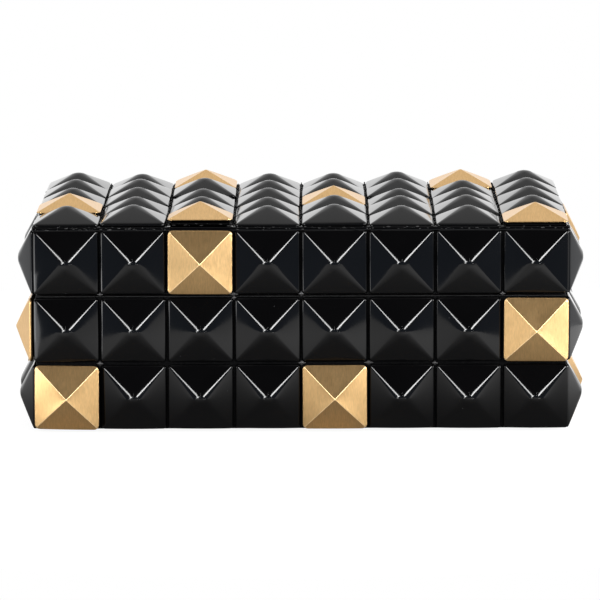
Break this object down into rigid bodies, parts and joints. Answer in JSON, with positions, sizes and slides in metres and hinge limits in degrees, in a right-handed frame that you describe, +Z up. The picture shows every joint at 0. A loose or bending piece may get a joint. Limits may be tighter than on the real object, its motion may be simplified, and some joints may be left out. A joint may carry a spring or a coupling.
{
  "type": "storage box",
  "caption": "Rectangular storage box with a hinged lid, its sides and top covered with square pyramid studs, most of them black and some gold.",
  "frame": {"origin": "middle of the box's footprint, at the underside of the feet", "axes": "+X along the long side, to the right as seen from the front; +Y towards the back, where the hinges are; +Z up"},
  "size_m": [0.3078, 0.1998, 0.1234],
  "materials": {
    "black_lacquer": "deep black lacquer, high gloss, smooth",
    "brushed_gold": "gold-coloured sheet, satin, finely brushed",
    "hinge_brass": "plain brass, lightly polished",
    "painted_board": "fibreboard painted matt black",
    "black_felt": "short black felt"
  },
  "bodies": {
    "base": {"back_left_foot": "black_felt", "back_right_foot": "black_felt", "base_back_lining": "black_felt", "base_back_wall": "black_lacquer", "base_floor_board": "painted_board", "base_floor_pad": "black_felt", "base_front_lining": "black_felt", "base_front_wall": "black_lacquer", "base_left_lining": "black_felt", "base_left_wall": "black_lacquer", "base_right_lining": "black_felt", "base_right_wall": "black_lacquer", "front_left_foot": "black_felt", "front_right_foot": "black_felt", "gold_cap_base_back_c3_r2": "brushed_gold", "gold_cap_base_back_c7_r1": "brushed_gold", "gold_cap_base_front_c1_r1": "brushed_gold", "gold_cap_base_front_c5_r1": "brushed_gold", "gold_cap_base_front_c8_r2": "brushed_gold", "gold_cap_base_left_c2_r1": "brushed_gold", "gold_cap_base_left_c5_r2": "brushed_gold", "gold_cap_base_right_c2_r1": "brushed_gold", "left_base_screw_1": "hinge_brass", "left_base_screw_2": "hinge_brass", "left_hinge_base_leaf": "hinge_brass", "left_hinge_pin": "hinge_brass", "right_base_screw_1": "hinge_brass", "right_base_screw_2": "hinge_brass", "right_hinge_base_leaf": "hinge_brass", "right_hinge_pin": "hinge_brass"},
    "lid": {"gold_cap_lid_back_c6_r1": "brushed_gold", "gold_cap_lid_front_c3_r1": "brushed_gold", "gold_cap_lid_right_c3_r1": "brushed_gold", "gold_cap_lid_top_c1_r2": "brushed_gold", "gold_cap_lid_top_c3_r1": "brushed_gold", "gold_cap_lid_top_c3_r5": "brushed_gold", "gold_cap_lid_top_c5_r3": "brushed_gold", "gold_cap_lid_top_c7_r5": "brushed_gold", "gold_cap_lid_top_c8_r1": "brushed_gold", "left_hinge_lid_leaf": "hinge_brass", "left_lid_screw_1": "hinge_brass", "left_lid_screw_2": "hinge_brass", "lid_back_lining": "black_felt", "lid_back_wall": "black_lacquer", "lid_front_lining": "black_felt", "lid_front_wall": "black_lacquer", "lid_left_lining": "black_felt", "lid_left_wall": "black_lacquer", "lid_right_lining": "black_felt", "lid_right_wall": "black_lacquer", "lid_top_board": "black_lacquer", "lid_top_pad": "black_felt", "right_hinge_lid_leaf": "hinge_brass", "right_lid_screw_1": "hinge_brass", "right_lid_screw_2": "hinge_brass"}
  },
  "joints": [
    {"name": "lid_hinge", "type": "hinge", "parent": "base", "child": "lid", "pos_m": [0, 0.0941, 0.07435], "axis": [-1, 0, 0], "range_deg": [0, 95]}
  ]
}
